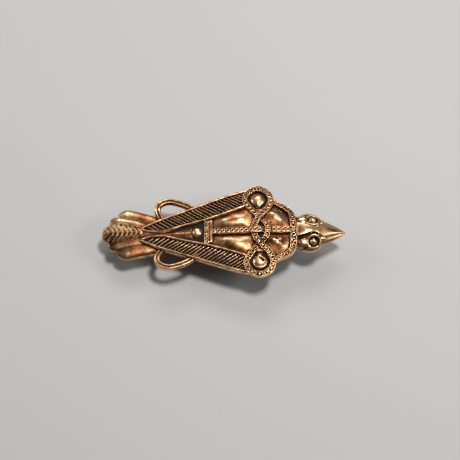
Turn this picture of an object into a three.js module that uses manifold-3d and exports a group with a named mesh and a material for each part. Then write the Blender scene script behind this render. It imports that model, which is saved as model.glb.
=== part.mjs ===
// Bird brooch: one hollow-backed bronze casting of a diving bird seen from above, with a hinged pin.
// Millimetres. +X runs from the tail to the beak, +Y across the wings and +Z up through the back.
// The brooch lies face up, on the feet of the hinge lugs and of the catch, and they stand at z = 0.
import * as THREE from 'three';
import { mergeVertices } from 'three/addons/utils/BufferGeometryUtils.js';
import Module from 'manifold-3d';

// Overall form of the bird: the plan below is drawn for these two sizes and stretches with them
const bird_length = 66;
const bird_width = 27;
const back_height = 9.85;
const shell_depth = 2.3;
const wall_draft = 0.7;

// Relief, measured down from the back's own surface
const floor_sink = 0.85;
const pit_sink = 1.05;
const rim_width = 0.85;
const rim_ridge = 0.25;
const band_width = 1.9;
const band_edge = 0.22;
const band_depth = 1.3;
const spine_lift = 0.2;
const collar_lift = 0.12;
const border_width = 1.35;
const border_sink = 0.05;
const panel_rise = 0.8;
const panel_root = 0.6;
const panel_gap = 1.1;
const knob_radius = 1.4;
const knob_sink = 0.75;
const knob_rise = 1.05;
const rump_rise = 0.3;
const rump_root = 0.5;
const barb_pitch = 0.97;
const barb_slant = 0.79;
const barb_width = 0.42;
const barb_sink = 0.2;
const barb_root = 0.2;
const barb_gap = 0.05;

// Shoulder boss, its pit and the band round it
const boss_radius = 2.15;
const boss_rise = 0.3;
const boss_root = 0.6;
const boss_point = 0.5;
const ring_inner = 2.8;
const ring_width = 1.6;
const ring_outer = ring_inner + ring_width;
const ring_point = 1.2;
const disc_inset = 0.25;
const disc_sink = 0.35;

// Head and beak
const head_half_length = 4.7;
const head_half_width = 5.85;
const head_sink = 2.75;
const head_rise = 1.85;
const head_drop = 1.8;
const eye_sink = 1.5;
const eye_radius = 1.85;
const eye_wire = 0.48;
const eye_pupil = 0.85;
const eye_tilt = 24;
const beak_half_width = 4.4;
const beak_half_height = 1.9;
const beak_sink = 3.1;
const crest_ridge = 0.08;
const crest_slope = 0.12;
const crest_depth = 1.6;

// Tail and leg loops
const tail_height = 7.0;
const tail_thickness = 1.7;
const feather_dome = 0.45;
const feather_tip = 2.4;
const feather_lap = 1.0;
const feather_step = 0.15;
const feather_fall = 0.3;
const leaf_lift = 0.05;
const rib_width = 0.8;
const rib_rise = 0.3;
const stroke_pitch = 1.3;
const stroke_slant = 1.6;
const stroke_width = 0.7;
const stroke_rise = 0.2;
const tail_camber = 0.008;
const tail_lean = 0.7;
const leg_width = 1.75;
const leg_thickness = 1.6;
const leg_height = 7.2;
const leg_root_duck = 0.45;
const leg_end_duck = 0.9;

// Pin, hinge and catch on the back
const pin_diameter = 1.3;
const pin_point = 0.4;
const pin_tip = 0.3;
const barrel_diameter = 3.0;
const barrel_width = 3.0;
const rivet_diameter = 1.3;
const rivet_head_diameter = 2.4;
const rivet_head = 0.6;
const running_gap = 0.3;
const lug_thickness = 1.5;
const lug_foot = 3.8;
const lug_corner = 0.7;
const lug_root = 0.7;
const hinge_x = 13.6;
const hinge_height = 1.7;
const catch_x = -19.6;
const catch_length = 2.8;
const catch_wall = 1.3;
const catch_root = 0.9;
const catch_round = 0.4;
const lip_reach = 1.0;
const pin_overhang = 2.2;

// How far a cut runs past the metal it goes through
const cut_past = 2;

// Facets shorter than the first are merged away where forms meet, and flatter than the second are turned
const smallest_facet = 0.01;
const flattest_facet = 0.0006;

// Plan units: one unit is a millimetre on a bird of the drawn length, width and height
const along = bird_length / 66;
const across = bird_width / 27;
const upward = back_height / 9.85;

const bronze = { color: 0x9a6338, roughness: 0.36, metalness: 0.95 };
const wire_bronze = { color: 0xa8763f, roughness: 0.34, metalness: 0.95 };

const wasm = await Module();
wasm.setup();

// Makes a closed geometry a solid, turned right side out
function solid(geometry) {
  const bare = geometry.clone();
  bare.deleteAttribute('normal');
  bare.deleteAttribute('uv');
  const merged = mergeVertices(bare, 1e-4);
  const points = Float32Array.from(merged.attributes.position.array);
  const corners = Uint32Array.from(merged.index.array);
  if (signed_volume(points, corners) < 0) {
    for (let i = 0; i < corners.length; i += 3) {
      const first = corners[i];
      corners[i] = corners[i + 1];
      corners[i + 1] = first;
    }
  }
  const mesh = new wasm.Mesh({ numProp: 3, vertProperties: points, triVerts: corners });
  return new wasm.Manifold(mesh);
}

function signed_volume(points, corners) {
  const a = new THREE.Vector3();
  const b = new THREE.Vector3();
  const c = new THREE.Vector3();
  let total = 0;
  for (let i = 0; i < corners.length; i += 3) {
    a.fromArray(points, corners[i] * 3);
    b.fromArray(points, corners[i + 1] * 3);
    c.fromArray(points, corners[i + 2] * 3);
    total += a.dot(b.cross(c)) / 6;
  }
  return total;
}

// A block of facets whose corners move to place(u, v, w), with u, v and w from 0 to 1
function block(facets_u, facets_v, place) {
  const box = new THREE.BoxGeometry(1, 1, 1, facets_u, facets_v, 1);
  const spot = box.attributes.position;
  for (let i = 0; i < spot.count; i += 1) {
    spot.setXYZ(i, ...place(spot.getX(i) + 0.5, spot.getY(i) + 0.5, spot.getZ(i) + 0.5));
  }
  return solid(box);
}

// A ball whose corners move to place(x, y, z), from a ball of radius 1 with its poles up and down
function ball(facets_round, facets_high, place) {
  const sphere = new THREE.SphereGeometry(1, facets_round, facets_high);
  sphere.rotateX(Math.PI / 2);
  const spot = sphere.attributes.position;
  for (let i = 0; i < spot.count; i += 1) {
    spot.setXYZ(i, ...place(spot.getX(i), spot.getY(i), spot.getZ(i)));
  }
  return solid(sphere);
}

// A three-sided bar whose corners move to place(u, v, w): u along it, v across and w at its crest
function bar(place) {
  const triangle = new THREE.Shape([[-1, 0], [1, 0], [0, 1]].map(([x, y]) => new THREE.Vector2(x, y)));
  const prism = new THREE.ExtrudeGeometry(triangle, { depth: 1, bevelEnabled: false });
  const spot = prism.attributes.position;
  for (let i = 0; i < spot.count; i += 1) {
    spot.setXYZ(i, ...place(spot.getZ(i), spot.getX(i), spot.getY(i)));
  }
  return solid(prism);
}

const mix = THREE.MathUtils.lerp;
const clamp = THREE.MathUtils.clamp;

// A smooth line through a few [x, value] points, level past its ends
function line(...knots) {
  const slope = (i) => {
    const before = knots[Math.max(i - 1, 0)];
    const after = knots[Math.min(i + 1, knots.length - 1)];
    return (after[1] - before[1]) / (after[0] - before[0]);
  };
  return (x) => {
    const last = knots.length - 1;
    if (x <= knots[0][0]) return knots[0][1];
    if (x >= knots[last][0]) return knots[last][1];
    const i = knots.findIndex((knot, n) => n < last && x < knots[n + 1][0]);
    const span = knots[i + 1][0] - knots[i][0];
    const t = (x - knots[i][0]) / span;
    const ease = t * t * (3 - 2 * t);
    const leave = t * (1 - t) * (1 - t) * slope(i) * span;
    const arrive = t * t * (t - 1) * slope(i + 1) * span;
    return mix(knots[i][1], knots[i + 1][1], ease) + leave + arrive;
  };
}

// Plan of the bird, in plan units from the middle of its length: x, then distance from its middle line
const inner_tip = [[-22.6, 1.4], [-21.4, 0.75], [-19.5, 0.35], [-16, 0.4]];
const inner_edge = line(...inner_tip, [-11.2, 1.75], [-3, 3.95], [8.4, 8]);
const outer_edge = line([-22.6, 2], [-21.4, 2.75], [-16.6, 4.8], [-8, 7.9], [3, 11.8], [8.4, 13.05]);
const chest_side = line([8, 9.5], [14.6, 8.7], [20.2, 4.4]);
const chest_edge = line([11, 7.6], [14.4, 8.1], [18.9, 5.6]);
const middle_edge = (x) => Math.min(inner_edge(x) + rim_width / 2 / across, chest_side(x));
const tip_x = -22.6;
const shoulder_x = 9.4;
const shoulder_y = 9.3;
const crossing_x = 9.6;
const crossing_y = 4.0;
const lens_tail_x = 8.25;
const lens_head_x = 11.55;
const band_tail_x = -5.3;
const band_head_x = -3.1;
const knob_x = -7.2;
const chest_x = 10.8;
const collar_tail_x = 17.6;
const collar_head_x = 19.5;

// The back's surface: its middle line runs down to both ends and it rounds down to both sides
const sag = line([-22.5, -2.5], [-14, -1.85], [-7, -1.3], [0, -0.65], [6, -0.2], [11, 0], [19, -0.25]);
const camber = line([-22, 0.004], [4, 0.0045], [12, 0.005], [16, 0.012], [20, 0.042]);

function back(x, y) {
  return back_height + upward * (sag(x) - camber(x) * y * y);
}

// A point at a plan place and a height
function at(x, y, height) {
  return [x * along, y * across, height];
}

// How far the underside lies below the middle line: it is flatter than the back
function under(x, y) {
  return back_height + upward * (sag(x) - 0.3 * camber(x) * y * y) - shell_depth;
}

// A wing: a blade with a ridged rim along each edge and a sunken floor between them
function wing_plate(side) {
  const profile = [
    [0, -rim_ridge], [0.5 * rim_width, 0], [rim_width, -floor_sink],
    [-rim_width, -floor_sink], [-0.5 * rim_width, 0], [0, -rim_ridge],
  ];
  return block(9, profile.length - 1, (u, v, w) => {
    const i = Math.round(v * (profile.length - 1));
    const x = mix(tip_x, shoulder_x - 1, u);
    const edge = i < 3 ? inner_edge(x) : outer_edge(x);
    const narrow = Math.min(1, (outer_edge(x) - inner_edge(x)) / (2.4 * rim_width));
    const y = edge + profile[i][0] * narrow / across;
    const tuck = v === 1 ? wall_draft * narrow / across : 0;
    return w ? at(x, side * y, back(x, y) + profile[i][1]) : at(x, side * (y - tuck), under(x, y));
  });
}

// Slanting barbs that fill the blade between its rims and stop at the shoulder's band
function wing_barbs(side) {
  const barbs = [];
  for (let start = tip_x + 2; start < shoulder_x - ring_inner; start += barb_pitch / along) {
    const top = outer_edge(start) - (rim_width + barb_gap) / across;
    const low_x = start + barb_slant * (outer_edge(start) - inner_edge(start));
    const low = inner_edge(low_x) + (rim_width + barb_gap) / across;
    barbs.push(bar((u, v, w) => {
      const x = mix(start, low_x, u);
      const y = mix(top, low, u);
      const height = back(x, y) - (w ? barb_sink : floor_sink + barb_root);
      return at(x + v * barb_width, side * y, height);
    }));
  }
  return join(barbs).subtract(shoulder_disc(side, (ring_inner + ring_outer) / 2, cut_past, -cut_past));
}

// A round plate on a shoulder, from the underside or below it up to a depth under the back
function shoulder_disc(side, radius, drop_below, to_sink) {
  const disc = new THREE.CylinderGeometry(radius, radius, 1, 24);
  disc.rotateX(Math.PI / 2);
  const spot = disc.attributes.position;
  for (let i = 0; i < spot.count; i += 1) {
    const shrink = spot.getZ(i) > 0 ? 1 : 1 - wall_draft / radius;
    const x = shoulder_x * along + spot.getX(i) * shrink;
    const y = shoulder_y * across + spot.getY(i) * shrink;
    const plan = [x / along, y / across];
    spot.setXYZ(i, x, side * y, spot.getZ(i) > 0 ? back(...plan) - to_sink : under(...plan) - drop_below);
  }
  return solid(disc);
}

// A drop shape round a shoulder boss: round away from the middle line, pointed towards it
function drop(angle, radius, point) {
  const lean = Math.max(0, -Math.sin(angle));
  const stretch = 1 + (point / radius - 1) * lean ** 6;
  const pinch = 1 - 0.25 * lean ** 3;
  return [Math.cos(angle) * radius * pinch, Math.sin(angle) * radius * stretch];
}

function drop_plug(side, radius, point, from_sink, to_sink) {
  const plug = new THREE.CylinderGeometry(1, 1, 1, 22);
  plug.rotateX(Math.PI / 2);
  const spot = plug.attributes.position;
  for (let i = 0; i < spot.count; i += 1) {
    const reach = Math.hypot(spot.getX(i), spot.getY(i));
    const [dx, dy] = drop(Math.atan2(spot.getY(i), spot.getX(i)), radius, point);
    const x = shoulder_x * along + dx * reach;
    const y = shoulder_y * across + dy * reach;
    const sink = spot.getZ(i) > 0 ? to_sink : from_sink;
    spot.setXYZ(i, x, side * y, back(x / along, y / across) - sink);
  }
  return solid(plug);
}

function shoulder_boss(side) {
  return ball(14, 6, (x, y, z) => {
    const [dx, dy] = drop(Math.atan2(y, x), boss_radius, boss_radius + boss_point);
    const reach = Math.hypot(x, y);
    const plan_x = shoulder_x * along + dx * reach;
    const plan_y = shoulder_y * across + dy * reach;
    const height = z > 0 ? boss_rise + pit_sink : boss_root;
    const base = back(plan_x / along, plan_y / across) - pit_sink;
    return [plan_x, side * plan_y, base + z * height];
  });
}

// A flat band with raised edges along a plan curve, lifted off the back by its distance from the middle
function band(curve, facets, width, lift) {
  const stops = [0, 0.22, 0.78, 1];
  return block(facets, 3, (u, v, w) => {
    const spot = curve.getPointAt(u);
    const way = curve.getTangentAt(u);
    const offset = (stops[Math.round(v * 3)] - 0.5) * width;
    const x = spot.x - way.y * offset;
    const y = spot.y + way.x * offset;
    const edge = v > 0.1 && v < 0.9 ? -band_edge : 0;
    const top = back(x / along, y / across) + lift(Math.abs(spot.y / across));
    return [x, y, w ? top + edge : top - band_depth];
  });
}

function plan_curve(points, side) {
  return new THREE.CatmullRomCurve3(points.map(([x, y]) => {
    return new THREE.Vector3(x * along, side * y * across, 0);
  }), false, 'centripetal');
}

// Half of the long looped band: round one side of both bosses and through the lens between them.
// At the crossings the half that goes round the head side of the bosses lies on top.
function looped_band(head_side, lens_x, width, lift) {
  const middle = (ring_inner + ring_outer) / 2;
  const turn = (degrees) => {
    const angle = THREE.MathUtils.degToRad(90 - head_side * degrees);
    return [shoulder_x + Math.cos(angle) * middle / along, shoulder_y + Math.sin(angle) * middle / across];
  };
  const half = [turn(-6), turn(10), turn(50), turn(90), [crossing_x + head_side * 2.5, 6.85]];
  half.push([crossing_x, crossing_y], [lens_x, 1.5]);
  const other = half.map(([x, y]) => [x, -y]).reverse();
  return band(plan_curve([...half, ...other], 1), 32, width, lift);
}

function spine_band() {
  const points = [[band_head_x - 0.2, 0], [4, 0], [12, 0], [collar_tail_x + 0.3, 0]];
  return band(plan_curve(points, 1), 5, band_width, () => spine_lift);
}

// A pillow-shaped panel between straight ends and two edge lines
function panel(side, from_x, to_x, low, high) {
  return block(5, 3, (u, v, w) => {
    const x = mix(from_x, to_x, u);
    const y = mix(low(x), high(x), v);
    const swell = Math.pow(Math.sin(Math.PI * u), 0.6) * Math.pow(Math.sin(Math.PI * v), 0.7);
    const foot = back(x, y) - floor_sink - border_sink;
    return at(x, side * y, foot + (w ? panel_rise * (swell || 0) : -panel_root));
  });
}

function middle_plate() {
  return block(12, 4, (u, v, w) => {
    const x = mix(-21, collar_head_x + 0.6, u);
    const y = mix(-middle_edge(x), middle_edge(x), v);
    return at(x, y, w ? back(x, y) - floor_sink : under(x, y) + 0.02);
  });
}

function cross_band() {
  const middle = (band_tail_x + band_head_x) / 2;
  const curve = plan_curve([[middle, -3.3], [middle, 3.3]], 1);
  return band(curve, 4, (band_head_x - band_tail_x) * along, () => -border_sink);
}

function knob() {
  return ball(10, 6, (x, y, z) => {
    return [knob_x * along + x * knob_radius, y * knob_radius, back(knob_x, 0) - knob_sink + z * knob_rise];
  });
}

// The low ridge that runs from the knob to where the wings meet
function rump_ridge() {
  return block(4, 2, (u, v, w) => {
    const x = mix(-17, -8.6, u);
    const half = mix(0.15, 1.5, u);
    const foot = back(x, 0) - floor_sink;
    return at(x, (2 * v - 1) * half, foot + (w ? rump_rise * (1 - Math.abs(2 * v - 1)) : -rump_root));
  });
}

function chest_border(side) {
  const points = [[13.1, 8.9], [14.6, 8.0], [17, 6.8], [18.7, 5.5]];
  return band(plan_curve(points, side), 4, border_width, () => -border_sink);
}

function collar() {
  const middle = (collar_tail_x + collar_head_x) / 2;
  const bend = [[middle, -5.2], [middle + 0.2, -3], [middle + 0.3, 0], [middle + 0.2, 3], [middle, 5.2]];
  const curve = plan_curve(bend, 1);
  return band(curve, 8, (collar_head_x - collar_tail_x) * along, () => collar_lift);
}

// Head: a flattened ball, a flat crest along its top, two ringed eyes and a cone for a beak
const head_x = 23;
const head_centre = back_height - head_sink;
const eye_x = 24.2;
const eye_y = 3.05;
const eye_height = back_height - eye_sink;
const beak_base_x = 25.2;
const beak_tip_x = 33;
const beak_tip_height = back_height - beak_sink;

function cranium() {
  return ball(16, 7, (x, y, z) => {
    const height = z > 0 ? head_rise : head_drop;
    return [head_x * along + x * head_half_length, y * head_half_width, head_centre + z * height];
  });
}

function beak() {
  return block(5, 6, (u, v, w) => {
    const round = (v - 0.5) * Math.PI;
    const thin = Math.pow(1 - u, 0.8) + 0.02;
    const x = mix(beak_base_x, beak_tip_x, u);
    const middle = mix(head_centre - 0.1, beak_tip_height, u);
    const half = beak_half_height * Math.cos(round) * thin;
    const y = Math.sin(round) * beak_half_width * thin;
    return [x * along, y, middle + (w ? half * 1.1 + smallest_facet : -half * 0.7 - smallest_facet)];
  });
}

// The crest runs from the collar between the eyes and out along the beak
function crest() {
  const half_width = line([19, 1.75], [22.4, 1.45], [24.6, 0.8], [27, 1.25], [32.1, 0.3]);
  const sink = line([19, 0.1], [22.4, -0.15], [25, 0.15], [28, 0.95], [32.1, 2.6]);
  return block(7, 2, (u, v, w) => {
    const x = mix(19, 32.1, u);
    const y = (2 * v - 1) * half_width(x);
    const top = back_height - upward * sink(x) + (v === 0.5 ? crest_ridge : -crest_slope);
    return at(x, y, w ? top : top - crest_depth * (1 - 0.7 * u));
  });
}

function eye(side) {
  const ring = new THREE.TorusGeometry(eye_radius, eye_wire, 5, 14);
  const pupil = new THREE.SphereGeometry(eye_pupil, 8, 5);
  pupil.rotateX(Math.PI / 2);
  pupil.translate(0, 0, -eye_pupil * 0.25);
  const parts = [ring, pupil].map((geometry) => {
    geometry.rotateX(THREE.MathUtils.degToRad(-side * eye_tilt));
    geometry.translate(eye_x * along, side * eye_y * across, eye_height);
    return solid(geometry);
  });
  return join(parts);
}

// Tail: a long leaf in the middle and two feathers on each side, with stepped round tips
const leaf_edge = line([-32, 2.6], [-29.5, 3.2], [-26, 2.7], [-21.5, 1.5], [-15, 0.9]);
const second_edge = line([-30.6, 5.4], [-25.4, 4.6], [-21, 3.4], [-15, 2.2]);
const third_edge = line([-28, 7.4], [-26, 7.5], [-22.6, 6.7], [-18.4, 5.6], [-15, 4]);
const tail_root_x = -14.5;
const tail_sag = line([-33, -0.6], [-29, 0], [-14, 0]);

// The tail was cast a little to one side
function lean(x) {
  return tail_lean * clamp((tail_root_x - x) / 9, 0, 1);
}

function tail_back(x, y) {
  return tail_height + upward * (tail_sag(x) - tail_camber * y * y);
}

function feather(side, tail_end_x, near, far, lift) {
  return block(6, 3, (u, v, w) => {
    const run = Math.sin(u * Math.PI / 2);
    const x = mix(tail_root_x, tail_end_x, run);
    const left = clamp((x - tail_end_x) / feather_tip, 0, 1);
    const round = Math.max(0.3, Math.sqrt(1 - (1 - left) ** 2));
    const middle = (near(x) + far(x)) / 2;
    const half = (far(x) - near(x)) / 2 * round;
    const y = middle + (2 * v - 1) * half;
    const dome = v > 0.1 && v < 0.9 ? 0 : -feather_dome;
    const top = tail_back(x, y) + lift + dome - feather_fall * (1 - left);
    return at(x, side * y + lean(x), w ? top : tail_back(x, y) + lift - tail_thickness);
  });
}

function tail() {
  const parts = [feather(1, -33, (x) => -leaf_edge(x), leaf_edge, leaf_lift), leaf_rib()];
  for (const side of [1, -1]) {
    const second_near = (x) => leaf_edge(x) - feather_lap;
    const third_near = (x) => second_edge(x) - feather_lap;
    parts.push(feather(side, -31.1, second_near, second_edge, leaf_lift - feather_step));
    parts.push(feather(side, -28.7, third_near, third_edge, leaf_lift - 2 * feather_step));
    parts.push(...leaf_strokes(side));
  }
  return join(parts);
}

function leaf_rib() {
  return bar((u, v, w) => {
    const x = mix(-31.6, -22, u);
    return at(x, v * rib_width / 2 + lean(x), tail_back(x, 0) + (w ? rib_rise : -rib_rise));
  });
}

// Raised strokes that slant back from the leaf's rib to its edge
function leaf_strokes(side) {
  const strokes = [];
  for (let x = -24.5; x > -31; x -= stroke_pitch / along) {
    const end_x = x - stroke_slant / along;
    const end_y = leaf_edge(end_x) * 0.82;
    strokes.push(bar((u, v, w) => {
      const spot_x = mix(x, end_x, u);
      const y = mix(rib_width / 4, end_y, u);
      const fall = feather_dome * Math.max(0, 3 * y / leaf_edge(spot_x) - 1) / 2;
      const top = tail_back(spot_x, y) + stroke_rise - fall;
      return at(spot_x + v * stroke_width / 2, side * y + lean(spot_x), w ? top : top - 2.5 * stroke_rise);
    }));
  }
  return strokes;
}

// A bent leg: a strap that leaves the wing's outer edge and comes back in at the side of the tail
function leg(side) {
  const points = [[-6.9, 6.3], [-9.4, 8.1], [-12.3, 9.4], [-15.2, 9.9], [-17.4, 8.9], [-18, 7.2], [-17, 4.6]];
  const curve = new THREE.CatmullRomCurve3(points.map(([x, y], i) => {
    const duck = { 0: leg_root_duck, [points.length - 1]: leg_end_duck }[i] ?? 0;
    return new THREE.Vector3(...at(x, side * y, leg_height - duck));
  }), false, 'centripetal');
  return block(12, 3, (u, v, w) => {
    const spot = curve.getPoint(u);
    const way = curve.getTangent(u);
    const offset = (v - 0.5) * leg_width;
    const round = v > 0.1 && v < 0.9 ? leg_thickness / 2 : leg_thickness / 4;
    return [spot.x - way.y * offset, spot.y + way.x * offset, spot.z + (w ? round : -round)];
  });
}

// Turns an outline drawn in x and z and extruded across, centred on a distance from the middle line
function upright(outline, thickness, y) {
  const how = { depth: thickness, bevelEnabled: false, curveSegments: 6 };
  const plate = new THREE.ExtrudeGeometry(outline, how);
  plate.rotateX(Math.PI / 2);
  plate.translate(0, y + thickness / 2, 0);
  return solid(plate);
}

const lug_y = barrel_width / 2 + running_gap + lug_thickness / 2;

// A hinge lug: a cast-on plate with a flat foot and a hole for the rivet
function lug(side) {
  const root = under(hinge_x / along, lug_y / across) + lug_root;
  const half = lug_foot / 2;
  const outline = new THREE.Shape();
  outline.moveTo(hinge_x - half + lug_corner, 0);
  outline.lineTo(hinge_x + half - lug_corner, 0);
  outline.lineTo(hinge_x + half, lug_corner);
  outline.lineTo(hinge_x + half, hinge_height * 1.6);
  outline.lineTo(hinge_x + half * 1.3, root);
  outline.lineTo(hinge_x - half * 1.3, root);
  outline.lineTo(hinge_x - half, hinge_height * 1.6);
  outline.lineTo(hinge_x - half, lug_corner);
  outline.closePath();
  const hole = new THREE.Path();
  hole.absarc(hinge_x, hinge_height, rivet_diameter / 2 + running_gap, 0, Math.PI * 2, true);
  outline.holes.push(hole);
  return upright(outline, lug_thickness, side * lug_y);
}

// The catch: a hook that opens down, with a long wall on one side of the pin and a short lip on the other
function pin_catch() {
  const slot = pin_diameter / 2 + running_gap;
  const roof = hinge_height + slot;
  const root = tail_height - tail_thickness + catch_root;
  const outline = new THREE.Shape();
  outline.moveTo(slot, 0);
  outline.lineTo(slot + catch_wall, 0);
  outline.lineTo(slot + catch_wall, root);
  outline.lineTo(-slot - catch_wall, root);
  outline.lineTo(-slot - catch_wall, lip_reach);
  outline.lineTo(-slot, lip_reach);
  outline.lineTo(-slot, roof - catch_round);
  outline.quadraticCurveTo(-slot, roof, -slot + catch_round, roof);
  outline.lineTo(slot - catch_round, roof);
  outline.quadraticCurveTo(slot, roof, slot, roof - catch_round);
  const how = { depth: catch_length, bevelEnabled: false, curveSegments: 4 };
  const hook = new THREE.ExtrudeGeometry(outline, how);
  hook.rotateX(Math.PI / 2);
  hook.rotateZ(Math.PI / 2);
  hook.translate(catch_x - catch_length / 2, 0, 0);
  return solid(hook);
}

function join(solids) {
  return solids.reduce((whole, next) => whole.add(next));
}

function casting() {
  const sides = [1, -1];
  const panel_low = () => panel_gap / across;
  const chest_side_of_panel = (x) => chest_edge(x) - panel_gap / across;
  const plates = [middle_plate()];
  const pits = [];
  const relief = [spine_band(), cross_band(), knob(), rump_ridge(), collar()];
  for (const side of sides) {
    plates.push(wing_plate(side), shoulder_disc(side, ring_outer - disc_inset, 0, disc_sink));
    pits.push(drop_plug(side, ring_inner, ring_inner + ring_point, pit_sink, -cut_past));
    relief.push(wing_barbs(side), shoulder_boss(side), chest_border(side));
    relief.push(panel(side, band_head_x + 0.3, lens_tail_x, panel_low, inner_edge));
    relief.push(panel(side, chest_x, collar_tail_x + 0.2, panel_low, chest_side_of_panel));
    relief.push(leg(side), lug(side), eye(side));
  }
  const over = line([0, 0.05], [crossing_y, 0.32], [shoulder_y - 1, 0.06]);
  const beneath = line([0, 0.34], [crossing_y, -0.02], [shoulder_y - 1, 0.02]);
  relief.push(looped_band(1, lens_tail_x, ring_width, over));
  relief.push(looped_band(-1, lens_head_x, ring_width - 0.1, beneath));
  relief.push(cranium(), beak(), crest(), tail(), pin_catch());
  return join(plates).subtract(join(pits)).add(join(relief));
}

// The pin: a barrel on the rivet and a round wire that thins to a point beyond the catch
function pin() {
  const barrel = new THREE.CylinderGeometry(barrel_diameter / 2, barrel_diameter / 2, barrel_width, 16);
  barrel.translate(hinge_x, 0, 0);
  const bore_radius = rivet_diameter / 2 + running_gap;
  const bore = new THREE.CylinderGeometry(bore_radius, bore_radius, barrel_width + cut_past, 12);
  bore.translate(hinge_x, 0, 0);
  for (const round of [barrel, bore]) {
    round.translate(0, 0, hinge_height);
  }
  const start = hinge_x - (bore_radius + barrel_diameter / 2) / 2;
  const end = catch_x - catch_length / 2 - pin_overhang;
  const radius = pin_diameter / 2;
  const profile = [[0, start], [radius, start], [radius, mix(start, end, 0.55)]];
  profile.push([radius * 0.75, mix(start, end, 0.9)], [pin_point / 2, end + pin_tip], [0, end]);
  const wire = new THREE.LatheGeometry(profile.map(([r, x]) => new THREE.Vector2(r, x)), 10);
  wire.rotateZ(-Math.PI / 2);
  wire.translate(0, 0, hinge_height);
  return solid(barrel).add(solid(wire)).subtract(solid(bore));
}

// The rivet: a plain shank through both lugs, with a flat head on each end
function rivet() {
  const reach = lug_y + lug_thickness / 2 + running_gap;
  const shank = rivet_diameter / 2;
  const head = rivet_head_diameter / 2;
  const profile = [[0, -reach - rivet_head], [head * 0.8, -reach - rivet_head], [head, -reach]];
  profile.push([shank, -reach], [shank, reach], [head, reach]);
  profile.push([head * 0.8, reach + rivet_head], [0, reach + rivet_head]);
  const turned = new THREE.LatheGeometry(profile.map(([r, y]) => new THREE.Vector2(r, y)), 12);
  turned.translate(hinge_x, 0, hinge_height);
  return solid(turned);
}

// The long side of a facet, and how far the third corner stands off it
function long_side(points, facet) {
  const spots = facet.map((corner) => new THREE.Vector3().fromArray(points, corner * 3));
  const lengths = spots.map((spot, i) => spot.distanceTo(spots[(i + 1) % 3]));
  const longest = lengths.indexOf(Math.max(...lengths));
  const area = new THREE.Triangle(...spots).getArea();
  return [longest, 2 * area / lengths[longest]];
}

// Where the corners of a facet lie nearly in line, it and the facet beside it are parted the other way
function turn_flat_facets(points, facets) {
  const sides = new Map();
  const side = (a, b) => `${a} ${b}`;
  const record = (n) => facets[n].forEach((corner, i) => sides.set(side(corner, facets[n][(i + 1) % 3]), n));
  facets.forEach((facet, n) => record(n));
  facets.forEach((facet, n) => {
    const [longest, height] = long_side(points, facets[n]);
    if (height > flattest_facet) return;
    const [a, b, c] = [0, 1, 2].map((i) => facets[n][(longest + i) % 3]);
    const beside = sides.get(side(b, a));
    const d = facets[beside].find((corner) => corner !== a && corner !== b);
    if (sides.has(side(c, d)) || sides.has(side(d, c))) return;
    sides.delete(side(a, b));
    sides.delete(side(b, a));
    facets[n] = [a, d, c];
    facets[beside] = [d, b, c];
    record(n);
    record(beside);
  });
  return facets;
}

// A named mesh from a solid
function piece(name, shape, finish) {
  const mesh = shape.getMesh();
  const points = Float32Array.from(mesh.vertProperties);
  const facets = [];
  for (let i = 0; i < mesh.triVerts.length; i += 3) {
    facets.push([...mesh.triVerts.slice(i, i + 3)]);
  }
  const geometry = new THREE.BufferGeometry();
  geometry.setAttribute('position', new THREE.BufferAttribute(points, 3));
  geometry.setIndex(turn_flat_facets(points, facets).flat());
  geometry.computeVertexNormals();
  const made = new THREE.Mesh(geometry, new THREE.MeshStandardMaterial(finish));
  made.name = name;
  return made;
}

const brooch = new THREE.Group();
brooch.add(piece('brooch_casting', casting().simplify(smallest_facet), bronze));
brooch.add(piece('pin', pin(), wire_bronze));
brooch.add(piece('hinge_rivet', rivet(), wire_bronze));

export default brooch;
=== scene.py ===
# %% [markdown]
# # A cast bronze bird brooch
# The brooch is a diving bird seen from above: two barbed wings, a looped band that ties the shoulders,
# a head with ringed eyes, a feather tail and two bent legs. It is one casting with a pin riveted across
# its back. A jeweller carves such a thing in wax, casts it, darkens it and polishes the high places.
# The script follows the same order: carve the forms, fuse them, punch the marks, tone and polish.

# %% Load the frame
import math

import bmesh
import bpy
import numpy as np
from mathutils import Matrix, Vector, noise


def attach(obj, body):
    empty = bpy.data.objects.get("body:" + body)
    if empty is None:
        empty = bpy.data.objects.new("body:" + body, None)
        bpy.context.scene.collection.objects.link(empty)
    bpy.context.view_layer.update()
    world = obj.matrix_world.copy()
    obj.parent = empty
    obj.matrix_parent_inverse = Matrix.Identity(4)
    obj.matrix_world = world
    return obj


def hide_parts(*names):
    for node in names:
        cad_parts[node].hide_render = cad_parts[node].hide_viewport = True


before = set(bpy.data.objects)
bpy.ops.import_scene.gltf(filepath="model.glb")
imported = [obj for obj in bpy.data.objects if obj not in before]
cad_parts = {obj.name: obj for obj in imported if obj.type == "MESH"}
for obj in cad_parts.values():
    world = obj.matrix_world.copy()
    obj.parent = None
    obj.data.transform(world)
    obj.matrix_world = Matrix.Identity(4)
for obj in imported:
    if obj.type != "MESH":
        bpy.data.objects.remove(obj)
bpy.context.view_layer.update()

# %% [markdown]
# ## Sizes
# All carving is thought of in millimetres and turned to metres at the very end, because a wax carver's
# sizes, such as a 0.85 mm rim, are easier to read than thousandths of a metre. These match the solids.

# %% The bird's sizes in millimetres
MM = 0.001
back_height = 9.85
shell_depth = 2.3
wall_draft = 0.7
floor_sink = 0.85
pit_sink = 1.05
rim_width = 0.85
barb_pitch = 0.97
barb_slant = 0.79
boss_radius = 2.15
ring_inner = 2.8
ring_width = 1.6
ring_outer = ring_inner + ring_width
ring_middle = (ring_inner + ring_outer) / 2
band_width = 1.9
shoulder_x, shoulder_y = 9.4, 9.3
tip_x = -22.6


# %% [markdown]
# ## Smooth lines
# The bird's plan is a handful of edges, each drawn through a few points. A cubic that passes through
# every point, and leaves each one in the direction of its neighbours, gives the flow of a carved edge.

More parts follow.
